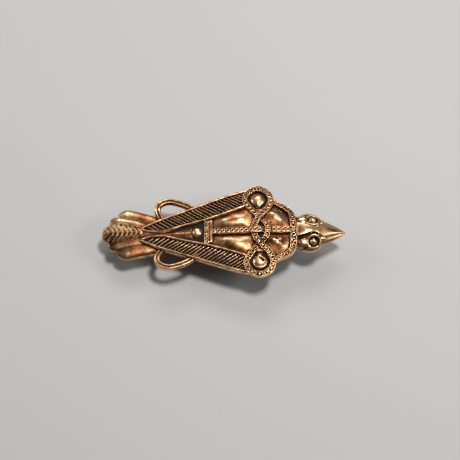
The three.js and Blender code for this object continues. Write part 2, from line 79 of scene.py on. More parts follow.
# %% A smooth line through a few points
def line(*knots):
    xs, ys = np.array(knots, float).T
    slopes = np.empty_like(ys)
    slopes[1:-1] = (ys[2:] - ys[:-2]) / (xs[2:] - xs[:-2])
    slopes[0] = (ys[1] - ys[0]) / (xs[1] - xs[0])
    slopes[-1] = (ys[-1] - ys[-2]) / (xs[-1] - xs[-2])

    def value(x):
        x = np.clip(x, xs[0], xs[-1])
        i = np.clip(np.searchsorted(xs, x, side="right") - 1, 0, len(xs) - 2)
        span = xs[i + 1] - xs[i]
        t = (x - xs[i]) / span
        share = t * t * (3 - 2 * t)
        leave = t * (1 - t) ** 2 * slopes[i] * span
        arrive = t * t * (t - 1) * slopes[i + 1] * span
        return ys[i] + (ys[i + 1] - ys[i]) * share + leave + arrive

    return value


def ease(low, high, value):
    t = np.clip((value - low) / (high - low), 0, 1)
    return t * t * (3 - 2 * t)


# %% The plan's edges and the surface of the back
inner_edge = line((-22.6, 1.4), (-21.4, 0.75), (-19.5, 0.35), (-16, 0.4), (-11.2, 1.75), (-3, 3.95), (8.4, 8))
outer_edge = line((-22.6, 2), (-21.4, 2.75), (-16.6, 4.8), (-8, 7.9), (3, 11.8), (8.4, 13.05))
chest_side = line((8, 9.5), (14.6, 8.7), (20.2, 4.4))
chest_edge = line((11, 7.6), (14.4, 8.1), (18.9, 5.6))
sag = line((-22.5, -2.5), (-14, -1.85), (-7, -1.3), (0, -0.65), (6, -0.2), (11, 0), (19, -0.25))
camber = line((-22, 0.004), (4, 0.0045), (12, 0.005), (16, 0.012), (20, 0.042))


def back(x, y):
    return back_height + sag(x) - camber(x) * y * y


def under(x, y):
    return back_height + sag(x) - shell_depth - 0.3 * camber(x) * y * y


print(f"back runs from {back(-22, 0):.2f} mm at the wing tips to {back(11, 0):.2f} mm at the shoulders")

# %% [markdown]
# ## Carving tools
# Nearly every form here is a bar or a plate that follows a surface: a rim, a barb, a band, a feather.
# Each starts as a flat grid that is extruded once, which is a closed slab, and the slab's corners are
# then moved. Knobs start as a ball. Working on all corners at once, as arrays, keeps the script quick.

# %% A slab whose corners are moved to place(u, v, w)
forms = []


def corners(bm):
    return np.array([v.co[:] for v in bm.verts])


def set_corners(bm, spots):
    for v, spot in zip(bm.verts, spots):
        v.co = spot


def keep_form(bm, keep=None):
    bmesh.ops.recalc_face_normals(bm, faces=bm.faces)
    (forms if keep is None else keep).append(bm)
    return bm


def slab(steps_u, steps_v, place, keep=None):
    bm = bmesh.new()
    bmesh.ops.create_grid(bm, x_segments=steps_u, y_segments=steps_v, size=0.5)
    raised = bmesh.ops.extrude_face_region(bm, geom=bm.faces[:], use_keep_orig=True)
    tops = [g for g in raised["geom"] if isinstance(g, bmesh.types.BMVert)]
    bmesh.ops.translate(bm, verts=tops, vec=(0, 0, 1))
    c = corners(bm)
    spots = place(c[:, 0] + 0.5, c[:, 1] + 0.5, c[:, 2])
    set_corners(bm, np.stack([np.broadcast_to(s, len(c)) for s in spots], axis=1))
    return keep_form(bm, keep)


# %% A ball whose corners are moved to place(x, y, z)
def ball(steps_round, steps_high, place, keep=None):
    bm = bmesh.new()
    bmesh.ops.create_uvsphere(bm, u_segments=steps_round, v_segments=steps_high, radius=1)
    c = corners(bm)
    spots = place(c[:, 0], c[:, 1], c[:, 2])
    set_corners(bm, np.stack([np.broadcast_to(s, len(c)) for s in spots], axis=1))
    return keep_form(bm, keep)


# %% A round-backed bar between rows of plan points
def smooth_path(points, count):
    """Points at even steps along a smooth path, and its directions there."""
    p = np.array(points, float)
    p = np.vstack([2 * p[0] - p[1], p, 2 * p[-1] - p[-2]])
    dense = []
    for a, b, c, d in zip(p[:-3], p[1:-2], p[2:-1], p[3:]):
        t1 = math.dist(a, b) ** 0.5
        t2 = t1 + math.dist(b, c) ** 0.5
        t3 = t2 + math.dist(c, d) ** 0.5
        t = np.linspace(t1, t2, 40, endpoint=False)[:, None]
        ab = a + (b - a) * t / t1
        bc = b + (c - b) * (t - t1) / (t2 - t1)
        cd = c + (d - c) * (t - t2) / (t3 - t2)
        abc = ab + (bc - ab) * t / t2
        bcd = bc + (cd - bc) * (t - t1) / (t3 - t1)
        dense.append(abc + (bcd - abc) * (t - t1) / (t2 - t1))
    dense = np.vstack(dense + [p[-2:-1]])
    walked = np.concatenate([[0], np.cumsum(np.linalg.norm(np.diff(dense, axis=0), axis=1))])
    stops = np.linspace(0, walked[-1], count)
    path = np.stack([np.interp(stops, walked, dense[:, i]) for i in range(dense.shape[1])], axis=1)
    ways = np.gradient(path, axis=0)
    ways /= np.linalg.norm(ways[:, :2], axis=1)[:, None]
    return path, ways


def along_path(points, steps_u, u):
    path, ways = smooth_path(points, steps_u + 1)
    i = np.rint(u * steps_u).astype(int)
    return path[i], ways[i]


def round_back(v, drop):
    """A rounded cross-section: 0 at the crest and -drop at both sides."""
    return -drop * (1 - np.sqrt(np.clip(1 - (2 * v - 1) ** 2, 0, 1)))


def broad_back(v, drop):
    """A flatter cross-section, for strokes that lie close together."""
    return -drop * np.abs(2 * v - 1) ** 2.6


# %% [markdown]
# ## Wings
# Each wing is a long blade: a sunken floor between two rounded rims that meet in a point over the tail.
# The floor is one slab that follows the back's own surface. Each rim is a bar laid on its edge, a little
# uneven, because it was drawn out by hand in wax. Between them lie slanting barbs, each one a small
# round-backed bar. They could be a bump in the material, but they catch light as real ridges.

# %% The floor of each wing and its two rims
def wobble(x, seed, size=0.06, scale=0.55):
    """A slow unevenness of hand carving, the same every run."""
    flat = np.atleast_1d(np.asarray(x, float)).ravel()
    values = [noise.noise(Vector((value * scale, seed * 7.3, 1.7))) for value in flat]
    return size * np.array(values).reshape(np.shape(x))


def wing_floor(side):
    def place(u, v, w):
        x = tip_x + 0.2 + (shoulder_x - 1.2 - tip_x) * u
        y = inner_edge(x) + 0.1 + (outer_edge(x) - inner_edge(x) - 0.2) * v
        narrow = np.minimum(1, (outer_edge(x) - inner_edge(x)) / (2.4 * rim_width))
        tuck = np.where(w < 0.5, ease(0.85, 1, v) * wall_draft * narrow, 0)
        z = np.where(w > 0.5, back(x, y) - floor_sink, under(x, y))
        return x, side * (y - tuck), z
    slab(150, 12, place)


def reaches_ring(x, y):
    """True where a wing's own lines run under the outer lip of the band round the shoulder."""
    return np.hypot(x - shoulder_x, y - shoulder_y) < ring_outer - 0.2


def rim_end(edge, inward):
    x = np.linspace(0, 8.4, 400)
    return x[np.argmax(reaches_ring(x, edge(x) + inward * rim_width / 2))]


def wing_rim(side, edge, inward, seed):
    end = rim_end(edge, inward)

    def place(u, v, w):
        x = tip_x + (end - tip_x) * u
        span = outer_edge(x) - inner_edge(x)
        width = np.minimum(rim_width, span * 0.5) + wobble(x, seed, 0.07, 0.8)
        y = edge(x) + inward * width * v
        z = back(x, y) + 0.05 + wobble(x, seed + 3, 0.08, 0.5) + round_back(v, 0.5)
        return x, side * y, np.where(w > 0.5, z, back(x, y) - floor_sink - 0.5)
    slab(220, 8, place)


for side in (1, -1):
    wing_floor(side)
    wing_rim(side, inner_edge, 1, 11 + side)
    wing_rim(side, outer_edge, -1, 21 + side)
print("wing forms", len(forms))


# %% The barbs between the rims
def barb(side, start, seed):
    top = outer_edge(start) - rim_width * 0.8
    low_x = start + barb_slant * (outer_edge(start) - inner_edge(start)) + 0.12 * math.sin(seed * 2.1)
    low = inner_edge(low_x) + rim_width * 0.8
    half = 0.35 + 0.02 * math.sin(seed * 3.7)
    crest = 0.2 + 0.04 * math.sin(seed * 5.1)
    share = np.linspace(0, 1, 60)
    under_ring = reaches_ring(start + (low_x - start) * share, top + (low - top) * share)
    stop = share[np.argmax(under_ring)] if under_ring.any() else 1.0
    if stop < 0.05:
        return

    def place(u, v, w):
        u = u * stop
        x = start + (low_x - start) * u
        y = top + (low - top) * u
        sink = crest + 0.12 * (2 * u - 1) ** 2
        z = back(x, y) - sink + broad_back(v, 0.6)
        return x + (2 * v - 1) * half, side * y, np.where(w > 0.5, z, back(x, y) - floor_sink - 0.3)
    slab(10, 10, place)


barb_starts = np.arange(tip_x + 2, shoulder_x - ring_inner, barb_pitch)
for side in (1, -1):
    for n, start in enumerate(barb_starts):
        barb(side, start, n + side)
print("barbs on each wing", len(barb_starts))

# %% [markdown]
# ## Shoulders
# A boss like a drop sits in a dark pit on each shoulder, with the looped band round it. The pit's floor
# is a round plate lower than the wing. The boss is a ball pulled to a point towards the middle.

# %% The plate under each shoulder and its boss
def drop(angle, radius, point):
    """A drop shape in plan: round away from the middle line, pointed towards it."""
    lean = np.maximum(0, -np.sin(angle))
    stretch = 1 + (point / radius - 1) * lean ** 6
    pinch = 1 - 0.25 * lean ** 3
    return np.cos(angle) * radius * pinch, np.sin(angle) * radius * stretch


def shoulder_plate(side):
    def place(x, y, z):
        flat = np.hypot(x, y)
        spread = np.where(flat > 0.02, 1 / np.maximum(flat, 1e-6), 0)
        reach = np.minimum(1, flat * 1.35)
        radius = (ring_outer - 0.1) * np.where(z > 0, 1, 1 - wall_draft / ring_outer)
        px = shoulder_x + x * spread * reach * radius
        py = shoulder_y + y * spread * reach * radius
        lip = ease(0.62, 0.7, reach)
        top = back(px, py) - pit_sink * (1 - lip) - 0.35 * lip
        return px, side * py, np.where(z > 0, top, under(px, py))
    ball(64, 40, place)


def shoulder_boss(side):
    def place(x, y, z):
        dx, dy = drop(np.arctan2(y, x), boss_radius, boss_radius + 0.6)
        reach = np.hypot(x, y)
        px, py = shoulder_x + dx * reach, shoulder_y + dy * reach
        dome = np.sign(z) * np.abs(z) ** 0.85
        return px, side * py, back(px, py) - pit_sink + dome * np.where(z > 0, 1.4, 0.6)
    ball(48, 32, place)


def boss_curl():
    """The raised curl along the lower edge of one boss, as a bar along an arc."""
    radius, turns = 1.75, np.linspace(-2.9, 0.4, 9)
    arc = [(shoulder_x + radius * math.cos(a), -shoulder_y + radius * math.sin(a)) for a in turns]

    def place(u, v, w):
        path, ways = along_path(arc, 40, u)
        half = 0.36 * np.sin(np.pi * np.clip(u, 0.02, 0.98)) ** 0.4
        x = path[:, 0] - ways[:, 1] * half * (2 * v - 1)
        y = path[:, 1] + ways[:, 0] * half * (2 * v - 1)
        top = back(x, y) + 0.16 + round_back(v, 0.3) - 0.35 * (2 * u - 1) ** 2
        return x, y, np.where(w > 0.5, top, top - 1.1)
    slab(40, 8, place)


for side in (1, -1):
    shoulder_plate(side)
    shoulder_boss(side)
boss_curl()


# %% [markdown]
# ## Bands
# One closed band loops round both bosses and crosses itself on the way. It is drawn as two halves, one
# from the head side of each ring and one from the tail side, which lap over each other where they
# cross. A straight band runs down the middle of the back, a short one lies across its end and one
# borders the chest. A band is a slab along a smooth path. Its cross-section has raised lips along both
# edges and a sunken face for the punched marks, and the short one has a broad ridge as well.

# %% A lipped band along a path, lifted where it passes over
def lips(v, width, lip=0.26, height=0.25):
    """The cross-section of a band: rounded lips at both sides of a face that lies lower."""
    from_side = np.minimum(v, 1 - v) * width
    return -0.18 * (1 - ease(0, 0.14, from_side)) - height * ease(lip * 0.6, lip * 1.3, from_side)


def band(points, width, lift, depth, steps=60, seed=1, section=lips):
    def place(u, v, w):
        path, ways = along_path(points, steps, u)
        wide = width(path[:, 0]) if callable(width) else width
        offset = (v - 0.5) * (wide + wobble(u * 30, seed, 0.1, 0.7))
        x = path[:, 0] - ways[:, 1] * offset
        y = path[:, 1] + ways[:, 0] * offset
        top = back(x, y) + lift(path[:, 0], np.abs(path[:, 1]))
        return x, y, np.where(w > 0.5, top + section(v, wide), top - depth)
    slab(steps, 24, place)


def loop_points(head_side, lens_x):
    half = []
    for degrees in (-6, 10, 50, 90):
        angle = math.radians(90 - head_side * degrees)
        half.append((shoulder_x + math.cos(angle) * ring_middle, shoulder_y + math.sin(angle) * ring_middle))
    half += [(9.6 + head_side * 2.5, 6.85), (9.6, 4.0), (lens_x, 1.5)]
    return half + [(x, -y) for x, y in reversed(half)]


lens_tail_x, lens_head_x = 8.25, 11.55
over = line((0, -0.08), (1.6, 0.1), (4, 0.36), (8.3, 0.06))
beneath = line((0, 0.4), (1.6, 0.3), (4, -0.14), (5.6, 0), (8.3, 0.02))
over_loop = loop_points(1, lens_tail_x)
under_loop = loop_points(-1, lens_head_x)
spine = [(-3.3, 0), (4, 0), (12, 0), (17.9, 0)]
cross = [(-4.2, 3.3), (-4.2, -3.3)]
chest_band = [(13.3, 8.9), (14.6, 8.15), (16.6, 7.1), (18.1, 5.85), (18.6, 4.3), (18.75, 2)]
chest_band += [(18.78, 0)] + [(x, -y) for x, y in reversed(chest_band)]
chest_width = line((13, 1.3), (17, 1.45), (18.6, 1.75))
chest_lift = line((13.3, -0.3), (14.2, -0.03), (18.6, 0.1))


def spine_lift(x, y):
    """The middle band dips under one side of the looped band and rides over the other."""
    dip = np.exp(-((x - lens_head_x) / 1.1) ** 2)
    rise = np.exp(-((x - lens_tail_x) / 1.2) ** 2)
    return 0.16 - 0.3 * dip + 0.1 * rise


def cross_section(v, width):
    """One thin lip, a sunken face for the marks, a groove and a broad plain ridge."""
    thin = 0.2 * ease(0, 0.04, v) * (1 - ease(0.1, 0.16, v))
    ridge = 0.34 * np.sqrt(np.clip(1 - ((v - 0.83) / 0.17) ** 2, 0, 1))
    groove = -0.14 * np.exp(-((v - 0.63) / 0.04) ** 2)
    return thin + ridge + groove - 0.24


def flat_lift(height):
    return lambda x, y: height + 0 * x


band(over_loop, ring_width, lambda x, y: over(y), 1.2, 240, 2)
band(under_loop, ring_width - 0.05, lambda x, y: beneath(y), 1.2, 240, 3)
band(spine, band_width - 0.1, spine_lift, 1.3, 160, 4)
band(cross, 2.3, flat_lift(0.02), 1.4, 40, 5, cross_section)
band(chest_band, chest_width, lambda x, y: chest_lift(x), 1.4, 200, 6)
print("forms with bands", len(forms))

# %% [markdown]
# ## The body between the wings
# The middle of the back is a plate that carries four pillow-shaped panels, two behind the looped band
# and two on the chest. Behind the cross band sit a round knob and a low ridge.

# %% The middle plate
def middle_edge(x):
    return np.minimum(inner_edge(x) + rim_width / 2, chest_side(x))


def middle_plate():
    def place(u, v, w):
        x = -21 + 41.1 * u
        y = middle_edge(x) * (2 * v - 1)
        return x, y, np.where(w > 0.5, back(x, y) - floor_sink, under(x, y) + 0.02)
    slab(120, 30, place)


middle_plate()


# %% The pillow-shaped panels
panel_start = 1.05


def panel(side, from_x, to_x, low, high, rise, seed):
    def place(u, v, w):
        x = from_x + (to_x - from_x) * u
        y = low(x) + (high(x) - low(x)) * v
        swell = np.sin(np.pi * u) ** 0.55 * np.sin(np.pi * v) ** 0.7
        dent = 0.05 * np.sin(x * 1.3 + seed) * np.sin(y * 1.1 + 2 * seed)
        top = back(x, y) - floor_sink - 0.05 + (rise + dent) * swell
        return x, side * y, np.where(w > 0.5, top, back(x, y) - floor_sink - 0.6)
    slab(60, 34, place)


for side in (1, -1):
    panel(side, -2.8, 8.0, lambda x: panel_start + 0 * x, lambda x: inner_edge(x) - 0.05, 0.9, 1 + side)
    panel(side, 10.8, 17.7, lambda x: panel_start + 0 * x, lambda x: chest_edge(x) - 1.0, 0.95, 3 + side)


# %% The knob and the low ridge behind it
knob_x = -7.2


def knob(x, y, z):
    round_z = np.sign(z) * np.abs(z) ** 0.8
    return knob_x + x * 1.42, y * 1.5, back(knob_x, 0) - 0.75 + round_z * 1.1


def rump_ridge(u, v, w):
    x = -17 + 8.4 * u
    half = 0.15 + 1.35 * u
    top = back(x, 0) - floor_sink - 0.05 + 0.4 * (1 - np.abs(2 * v - 1))
    return x, (2 * v - 1) * half, np.where(w > 0.5, top, top - 0.8)


ball(32, 20, knob)
slab(30, 10, rump_ridge)

# %% [markdown]
# ## Head
# The head is a flattened ball with a cone of a beak. A flat crest runs from the collar between the eyes
# and out along the beak. Each eye is a ring with a boss in it, tilted outwards.

# %% The skull, the beak and the crest
head_centre = back_height - 2.75
beak_from, beak_to = 25.2, 33.0


def skull(x, y, z):
    height = np.where(z > 0, 1.85, 1.8)
    return 23 + x * 4.7, y * 5.85, head_centre + z * height


def beak(u, v, w):
    turn = (v - 0.5) * np.pi
    thin = (1 - u) ** 0.8 + 0.02
    x = beak_from + (beak_to - beak_from) * u
    middle = head_centre - 0.1 + (back_height - 3.1 - head_centre + 0.1) * u
    half = 1.9 * np.cos(turn) * thin
    y = np.sin(turn) * 4.4 * thin
    return x, y, middle + np.where(w > 0.5, half * 1.1 + 0.02, -half * 0.7 - 0.02)


crest_half = line((19.6, 1.95), (21.4, 1.6), (23.4, 0.95), (24.8, 0.85), (27, 1.9), (29.5, 1.3), (32.6, 0.2))
crest_height = line((19.6, 9.72), (22.4, 9.98), (25, 9.62), (28, 8.85), (32.6, 7.1))


def crest(u, v, w):
    x = 19.65 + 12.95 * u
    y = (2 * v - 1) * crest_half(x)
    slope = 0.08 + 0.8 * ease(25.5, 28, x)
    top = crest_height(x) + 0.12 - slope * np.abs(2 * v - 1) ** 2.6 * (1 - 0.5 * u)
    return x, y, np.where(w > 0.5, top, top - 1.7 * (1 - 0.75 * u))


def temple(side):
    """The bulge between the collar and the eye."""
    def place(x, y, z):
        return 21.5 + x * 2.3, side * (2.95 + y * 2.2), head_centre + 0.25 + z * 1.5
    ball(32, 20, place)


def cere(side):
    """The small swelling at the root of the beak."""
    def place(x, y, z):
        return 26.9 + x * 1.15, side * (2.05 + y * 0.75 - x * 0.35), 8.0 + z * 0.62 - x * 0.3
    ball(20, 12, place)


ball(64, 40, skull)
slab(60, 40, beak)
slab(100, 20, crest)
for side in (1, -1):
    temple(side)
    cere(side)


# %% The ringed eyes
eye_x, eye_y, eye_height = 24.15, 3.15, back_height - 1.62
eye_tilt = math.radians(26)
eye_ring_radius, eye_ring_wire, eye_boss_radius = 1.8, 0.34, 0.92


def eye_ring(side):
    bm = bmesh.new()
    bmesh.ops.create_circle(bm, segments=14, radius=eye_ring_wire)
    bmesh.ops.rotate(bm, verts=bm.verts, cent=(0, 0, 0), matrix=Matrix.Rotation(math.pi / 2, 3, "X"))
    bmesh.ops.translate(bm, verts=bm.verts, vec=(eye_ring_radius, 0, 0.02))
    bmesh.ops.spin(bm, geom=bm.verts[:] + bm.edges[:], cent=(0, 0, 0), axis=(0, 0, 1), dvec=(0, 0, 0),
                   angle=2 * math.pi, steps=48, use_merge=True)
    bmesh.ops.rotate(bm, verts=bm.verts, cent=(0, 0, 0), matrix=Matrix.Rotation(-side * eye_tilt, 3, "X"))
    bmesh.ops.translate(bm, verts=bm.verts, vec=(eye_x, side * eye_y, eye_height))
    keep_form(bm)


def eye_boss(side):
    def place(x, y, z):
        lift = z * 1.0 - 0.22
        turned_y = y * eye_boss_radius * math.cos(eye_tilt) + side * lift * math.sin(eye_tilt)
        turned_z = lift * math.cos(eye_tilt) - side * y * eye_boss_radius * math.sin(eye_tilt)
        return eye_x + x * eye_boss_radius, side * eye_y + turned_y, eye_height + turned_z
    ball(24, 16, place)


for side in (1, -1):
    eye_ring(side)
    eye_boss(side)
print("forms with the head", len(forms))

# %% [markdown]
# ## Tail and legs
# The tail is a long leaf between two smooth feathers on each side, each a slab whose end is rounded in
# plan. The leaf has a rib and slanting strokes. A leg is a strap with a ridge along each side, bent out
# from the wing and back in beside the tail.

# %% The tail's feathers
leaf_edge = line((-32, 2.6), (-29.5, 3.2), (-26, 2.7), (-21.5, 1.5), (-15, 0.9))
second_edge = line((-30.6, 5.4), (-25.4, 4.6), (-21, 3.4), (-15, 2.2))
third_edge = line((-28, 7.4), (-26, 7.5), (-22.6, 6.7), (-18.4, 5.6), (-15, 4))
tail_sag = line((-33, -0.6), (-29, 0), (-14, 0))
tail_root, leaf_tip = -14.5, -33
feather_end = 2.4


def lean(x):
    return 0.7 * np.clip((tail_root - x) / 9, 0, 1)


def tail_back(x, y):
    return 7.0 + tail_sag(x) - 0.008 * y * y


def feather(side, end, near, far, lift, seed):
    def place(u, v, w):
        x = tail_root + (end - tail_root) * np.sin(u * np.pi / 2)
        left = np.clip((x - end) / feather_end, 0, 1)
        full = np.maximum(0.3, np.sqrt(1 - (1 - left) ** 2))
        middle = (near(x) + far(x)) / 2
        y = middle + (2 * v - 1) * (far(x) - near(x)) / 2 * full
        dome = round_back(v, 0.6) + 0.05
        top = tail_back(x, y) + lift + dome - 0.3 * (1 - left) + wobble(x, seed, 0.08, 0.4)
        return x, side * y + lean(x), np.where(w > 0.5, top, tail_back(x, y) + lift - 1.7)
    slab(80, 18, place)


feather(1, leaf_tip, lambda x: -leaf_edge(x), leaf_edge, 0.05, 1)
for side in (1, -1):
    feather(side, -31.1, lambda x: leaf_edge(x) - 1.0, second_edge, -0.1, 2 + side)
    feather(side, -28.7, lambda x: second_edge(x) - 1.0, third_edge, -0.25, 5 + side)


# %% The leaf's rib and strokes
def leaf_rib(u, v, w):
    x = -32.3 + 10.3 * u
    top = tail_back(x, 0) + 0.42 - 0.3 * (1 - ease(0, 0.15, u)) + round_back(v, 0.3)
    return x, (2 * v - 1) * 0.3 + lean(x), np.where(w > 0.5, top, top - 0.8)


stroke_run, stroke_pitch = 1.3, 1.25


def leaf_stroke(side, start, seed):
    left = np.clip((start - stroke_run - leaf_tip) / feather_end, 0, 1)
    reach = 0.88 * math.sqrt(1 - (1 - left) ** 2)

    def place(u, v, w):
        x = start - stroke_run * u
        y = 0.2 + (leaf_edge(start - stroke_run) * reach - 0.2) * u
        fall = 0.45 * np.maximum(0, 3 * y / leaf_edge(x) - 1) / 2
        top = tail_back(x, y) + 0.42 - fall + broad_back(v, 0.5) - 0.1 * u
        across = (2 * v - 1) * (0.45 + 0.04 * math.sin(seed))
        return x + across, side * y + lean(x), np.where(w > 0.5, top, top - 0.8)
    slab(14, 6, place)


slab(40, 8, leaf_rib)
for side in (1, -1):
    for n, start in enumerate(np.arange(-22.3, -31.4, -stroke_pitch)):
        leaf_stroke(side, start, n)


# %% The bent legs
leg_points = [(-7.2, 6.4, 7.15), (-9.4, 8.1, 7.2), (-12.3, 9.4, 7.2), (-15.2, 9.9, 7.2),
              (-17.4, 8.9, 7.2), (-18, 7.2, 7.2), (-17, 4.6, 6.3)]
leg_width = 1.75


def leg(side):
    def place(u, v, w):
        path, ways = along_path([(x, side * y, z) for x, y, z in leg_points], 90, u)
        offset = (v - 0.5) * leg_width
        groove = 0.34 * np.exp(-((2 * v - 1) / 0.3) ** 2)
        top = 0.8 + round_back(v, 0.55) - groove
        low = -0.8 - round_back(v, 0.55)
        z = path[:, 2] + np.where(w > 0.5, top, low)
        return path[:, 0] - ways[:, 1] * offset, path[:, 1] + ways[:, 0] * offset, z
    slab(90, 20, place)


for side in (1, -1):
    leg(side)
print("forms with tail and legs", len(forms))

# %% [markdown]
# ## Hinge lugs and catch
# They are hidden in the photograph, so they are plain: two lugs that hold the rivet and a hook that
# opens down. Each is a flat outline, filled as one face and extruded. The rivet's holes are cut with a
# boolean while the lugs are still simple.

# %% An outline that is extruded across
hinge_x, hinge_height = 13.6, 1.7
lug_y, lug_thickness = 2.55, 1.5
catch_x = -19.6


def extruded(outline, turn, start, depth_way):
    bm = bmesh.new()
    face = bm.faces.new([bm.verts.new(turn(a, b)) for a, b in outline])
    raised = bmesh.ops.extrude_face_region(bm, geom=[face], use_keep_orig=True)
    tops = [g for g in raised["geom"] if isinstance(g, bmesh.types.BMVert)]
    bmesh.ops.translate(bm, verts=tops, vec=depth_way)
    bmesh.ops.translate(bm, verts=bm.verts, vec=start)
    bmesh.ops.recalc_face_normals(bm, faces=bm.faces)
    return bm


def as_object(bm, name):
    mesh = bpy.data.meshes.new(name)
    bm.to_mesh(mesh)
    bm.free()
    made = bpy.data.objects.new(name, mesh)
    bpy.context.scene.collection.objects.link(made)
    return made


def finished_mesh(obj):
    """The object's mesh with its modifiers in it."""
    bpy.context.view_layer.update()
    graph = bpy.context.evaluated_depsgraph_get()
    return bpy.data.meshes.new_from_object(obj.evaluated_get(graph))


def lug(side):
    half, corner = 1.9, 0.7
    root = under(hinge_x, lug_y) + 0.7
    outline = [(-half + corner, 0), (half - corner, 0), (half, corner), (half, 2.72), (half * 1.3, root),
               (-half * 1.3, root), (-half, 2.72), (-half, corner)]
    start = (hinge_x, side * lug_y - lug_thickness / 2, 0)
    plate = as_object(extruded(outline, lambda a, b: (a, 0, b), start, (0, lug_thickness, 0)), "lug")
    hole = bmesh.new()
    bmesh.ops.create_cone(hole, cap_ends=True, segments=32, radius1=0.95, radius2=0.95, depth=4)
    bmesh.ops.rotate(hole, verts=hole.verts, cent=(0, 0, 0), matrix=Matrix.Rotation(math.pi / 2, 3, "X"))
    bmesh.ops.translate(hole, verts=hole.verts, vec=(hinge_x, side * lug_y, hinge_height))
    drill = as_object(hole, "drill")
    cut = plate.modifiers.new("hole", "BOOLEAN")
    cut.operation = "DIFFERENCE"
    cut.solver = "EXACT"
    cut.object = drill
    bm = bmesh.new()
    bm.from_mesh(finished_mesh(plate))
    forms.append(bm)
    bpy.data.objects.remove(plate)
    bpy.data.objects.remove(drill)


for side in (1, -1):
    lug(side)
slot, roof, root = 0.95, 2.65, 6.2
hook = [(slot, 0), (slot + 1.3, 0), (slot + 1.3, root), (-slot - 1.3, root), (-slot - 1.3, 1.0), (-slot, 1.0),
        (-slot, roof - 0.4), (-slot + 0.12, roof - 0.12), (-slot + 0.4, roof), (slot - 0.4, roof),
        (slot - 0.12, roof - 0.12), (slot, roof - 0.4)]
forms.append(extruded(hook, lambda a, b: (0, a, b), (catch_x - 1.4, 0, 0), (2.8, 0, 0)))
print("all forms", len(forms), "faces", sum(len(bm.faces) for bm in forms))

# %% [markdown]
# ## Fusing the casting
# A casting has no seams. All forms are joined in one mesh and a voxel remesh melts them together, as
# wax parts are welded with a hot tool. A boolean of a hundred forms would keep every knife-sharp line
# and could fail, while the voxels also round each edge a little, as casting and polishing do.

# %% Join and remesh the forms
VOXEL = 0.085
MOST_FACES = 188000


def melt(parts, name):
    whole = bmesh.new()
    for bm in parts:
        mesh = bpy.data.meshes.new("form")
        bm.to_mesh(mesh)
        bm.free()
        whole.from_mesh(mesh)
        bpy.data.meshes.remove(mesh)
    raw = as_object(whole, name)
    remesh = raw.modifiers.new("remesh", "REMESH")
    remesh.mode = "VOXEL"
    remesh.voxel_size = VOXEL
    soften = raw.modifiers.new("soften", "SMOOTH")
    soften.factor = 0.5
    soften.iterations = 2
    raw.data = finished_mesh(raw)
    raw.modifiers.clear()
    return raw


bird = melt(forms, "bird_casting")
print("melted faces", len(bird.data.polygons))


# %% [markdown]
# ## Punched marks and the marks of the hand
# The bands carry rows of punched dots, each with a small raised ring. They are pressed into the fused
# surface by moving its points, so that they follow it exactly. The hollow in one boss, the lumps on the
# chest, the grooves round the eyes and the gape of the beak are made the same way. A bump in the
# material could show them too, but the mesh itself would stay flat. Last, triangles are taken out,
# mostly where the surface is flat.

# %% Points and normals of the casting as arrays
def mesh_points(mesh):
    values = np.empty(len(mesh.vertices) * 3, np.float32)
    mesh.vertices.foreach_get("co", values)
    return values.reshape(-1, 3).astype(float)


def mesh_normals(mesh):
    values = np.empty(len(mesh.vertices) * 3, np.float32)
    mesh.vertex_normals.foreach_get("vector", values)
    return values.reshape(-1, 3).astype(float)


points = mesh_points(bird.data)
normals = mesh_normals(bird.data)
upward = normals[:, 2] > 0.6


# %% Press a row of dots along each band
dot_size, dot_depth, dot_ring = 0.24, 0.32, 0.09
dots_apart, band_covers = 0.8, 1.15
pressed = []


def press(x, y, size, depth, ring=0.0):
    """A dot of that radius pressed into the top, with a raised ring round it."""
    far = np.hypot(points[:, 0] - x, points[:, 1] - y)
    near = upward & (far < size * 3)
    pit = -depth * np.exp(-(far[near] / size) ** 4)
    rim = ring * np.exp(-((far[near] / size - 1.75) / 0.5) ** 2)
    points[near, 2] += pit + rim


def dot_row(row, step, size=dot_size, depth=dot_depth, ring=dot_ring, over_it=None, aside=0.0):
    """Dots along a path, left out beside other dots and where another band passes over it."""
    stops = 400
    path, ways = smooth_path(row, stops)
    cover = smooth_path(over_it, 300)[0] if over_it else np.full((1, 2), 1e3)
    length = np.sum(np.linalg.norm(np.diff(path, axis=0), axis=1))
    count, made = int(length / step) + 1, 0
    for n in range(count):
        i = int((n + 0.5) / count * (stops - 1))
        x, y = path[i][0] - ways[i][1] * aside, path[i][1] + ways[i][0] * aside
        alone = all(math.dist((x, y), other) > dots_apart for other in pressed)
        if alone and np.hypot(cover[:, 0] - x, cover[:, 1] - y).min() > band_covers:
            press(x, y, size, depth, ring)
            pressed.append((x, y))
            made += 1
    return made


marks = dot_row(over_loop, 1.3, over_it=[(3, 0), (16, 0)]) + dot_row(under_loop, 1.3, over_it=over_loop)
for side in (1, -1):
    for seam in (math.radians(101.5), math.radians(116.5)):
        seam_x, seam_y = shoulder_x + ring_middle * math.cos(seam), shoulder_y + ring_middle * math.sin(seam)
        press(seam_x, side * seam_y, dot_size, dot_depth, dot_ring)
        marks += 1
marks += dot_row(spine, 1.25, over_it=under_loop) + dot_row(cross, 0.98, 0.17, 0.2, 0.12, aside=-0.38)
collar_x = 18.7
for y, size in ((4.5, 0.22), (3.1, 0.26), (1.4, 0.33), (0, 0.2), (-1.5, 0.27), (-3.1, 0.25), (-4.5, 0.22)):
    press(collar_x, y, size, 0.3, 0.16)
    pressed.append((collar_x, y))
    marks += 1
marks += dot_row(chest_band, 1.0, 0.17, 0.2, 0.1)
print("punched marks", marks)

